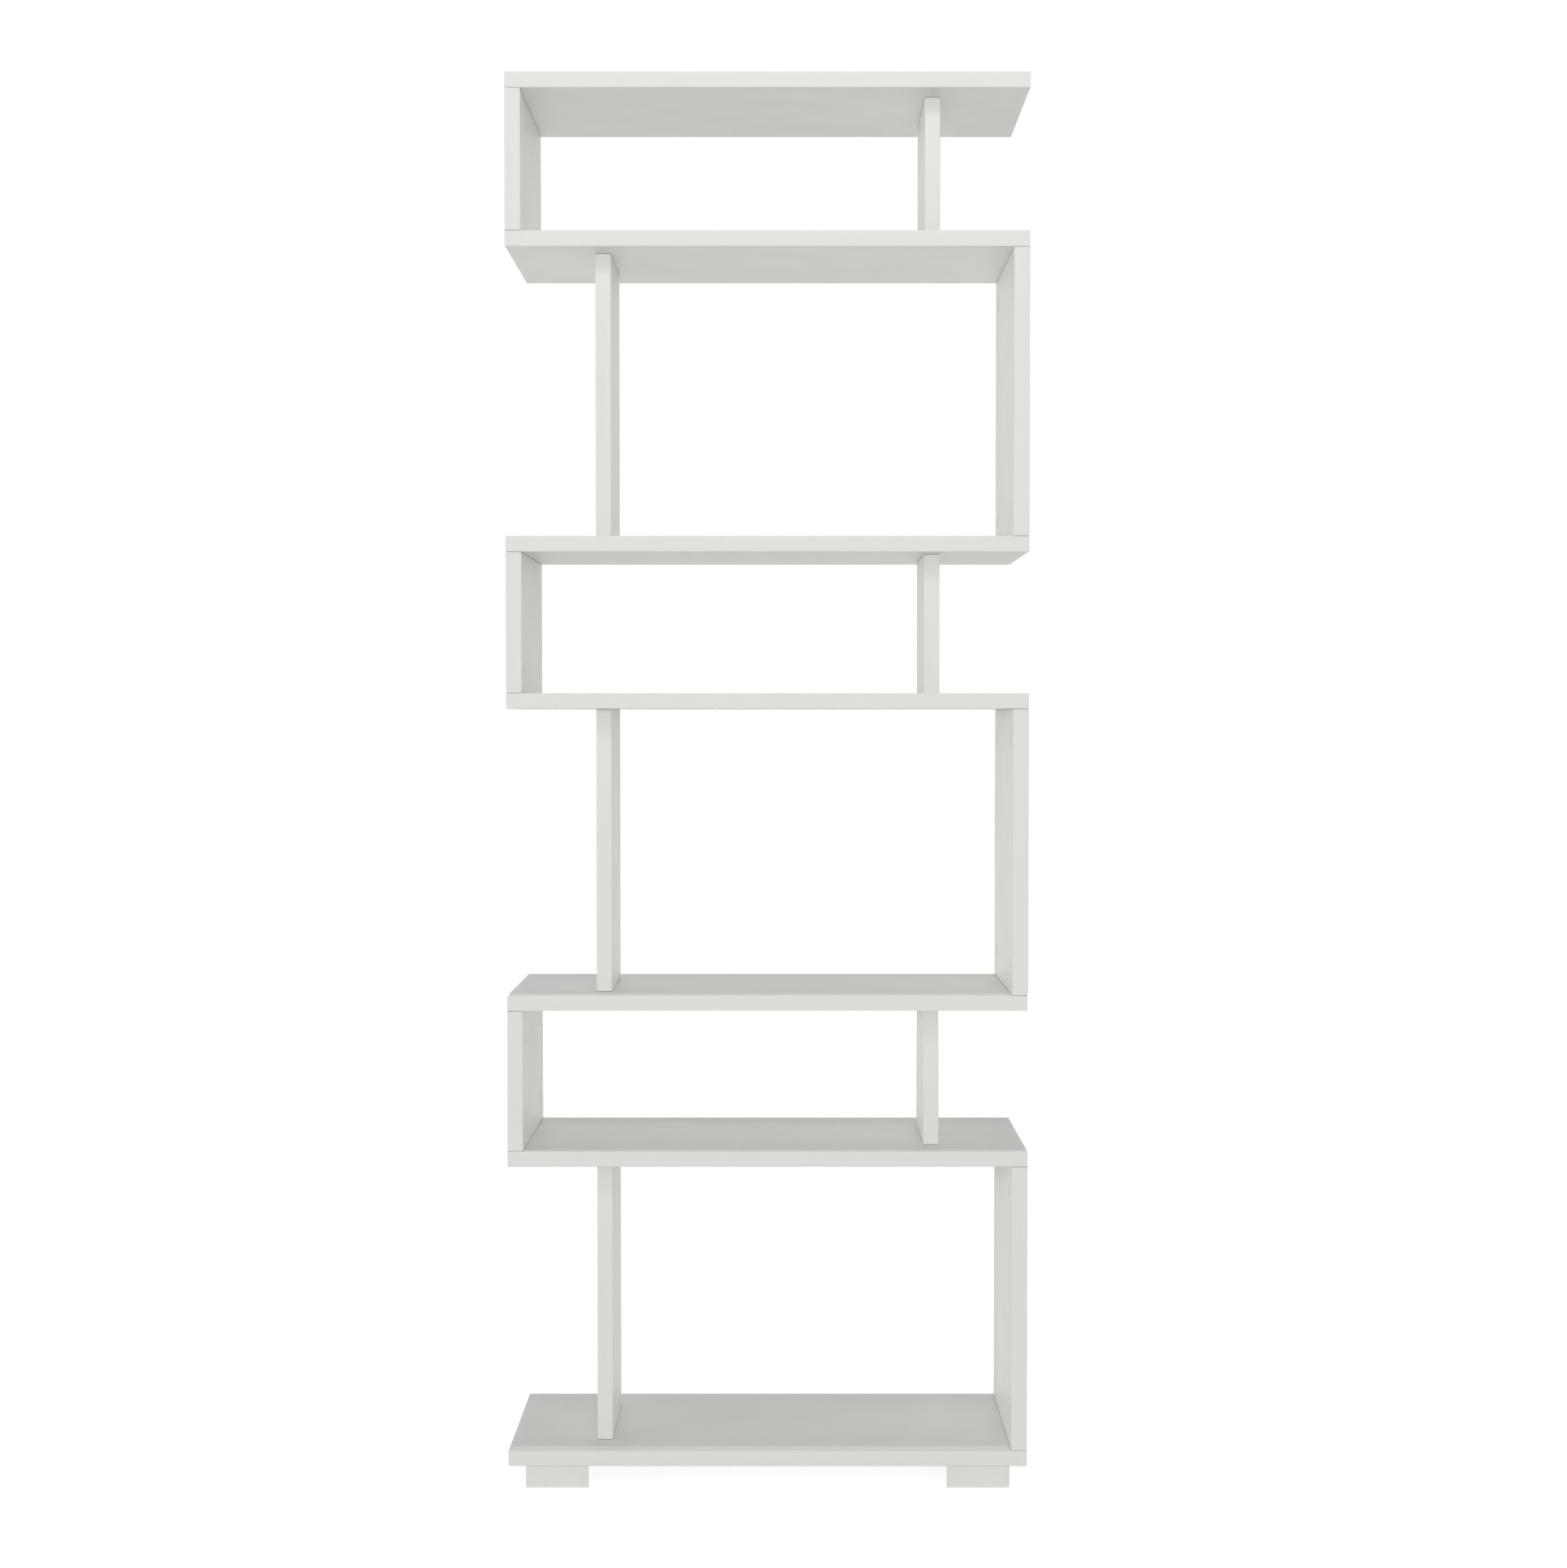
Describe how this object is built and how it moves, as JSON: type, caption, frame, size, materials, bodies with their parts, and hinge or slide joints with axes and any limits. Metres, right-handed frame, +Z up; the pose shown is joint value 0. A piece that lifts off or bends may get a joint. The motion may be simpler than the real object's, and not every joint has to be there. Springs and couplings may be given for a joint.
{
  "type": "zigzag bookshelf",
  "caption": "Tall open S-shaped bookcase in white board: level shelves joined by side panels that change ends from bay to bay, narrow posts across from them, on low feet.",
  "frame": {"origin": "on the floor, under the middle of the bookcase", "axes": "+Z up, +X to the right and +Y to the back, seen from the side that the picture shows"},
  "size_m": [0.6, 0.24, 1.627],
  "materials": {
    "board": "white melamine faced particle board, satin",
    "edge_band": "white edge band, satin",
    "foot": "moulded white plastic, fine matt texture",
    "cap": "moulded white plastic",
    "zinc": "die-cast zinc",
    "steel": "zinc-plated steel",
    "dowel": "beech"
  },
  "bodies": {
    "root": {"base_board": "board", "base_board_edging": "edge_band", "cam_bolts": "steel", "cam_caps": "cap", "cams": "zinc", "dowels": "dowel", "foot_back_left": "foot", "foot_back_right": "foot", "foot_front_left": "foot", "foot_front_right": "foot", "foot_screws": "steel", "post_1": "board", "post_1_edging": "edge_band", "post_2": "board", "post_2_edging": "edge_band", "post_3": "board", "post_3_edging": "edge_band", "post_4": "board", "post_4_edging": "edge_band", "post_5": "board", "post_5_edging": "edge_band", "post_6": "board", "post_6_edging": "edge_band", "shelf_1": "board", "shelf_1_edging": "edge_band", "shelf_2": "board", "shelf_2_edging": "edge_band", "shelf_3": "board", "shelf_3_edging": "edge_band", "shelf_4": "board", "shelf_4_edging": "edge_band", "shelf_5": "board", "shelf_5_edging": "edge_band", "side_panel_1": "board", "side_panel_1_edging": "edge_band", "side_panel_2": "board", "side_panel_2_edging": "edge_band", "side_panel_3": "board", "side_panel_3_edging": "edge_band", "side_panel_4": "board", "side_panel_4_edging": "edge_band", "side_panel_5": "board", "side_panel_5_edging": "edge_band", "side_panel_6": "board", "side_panel_6_edging": "edge_band", "top_board": "board", "top_board_edging": "edge_band"}
  },
  "joints": []
}
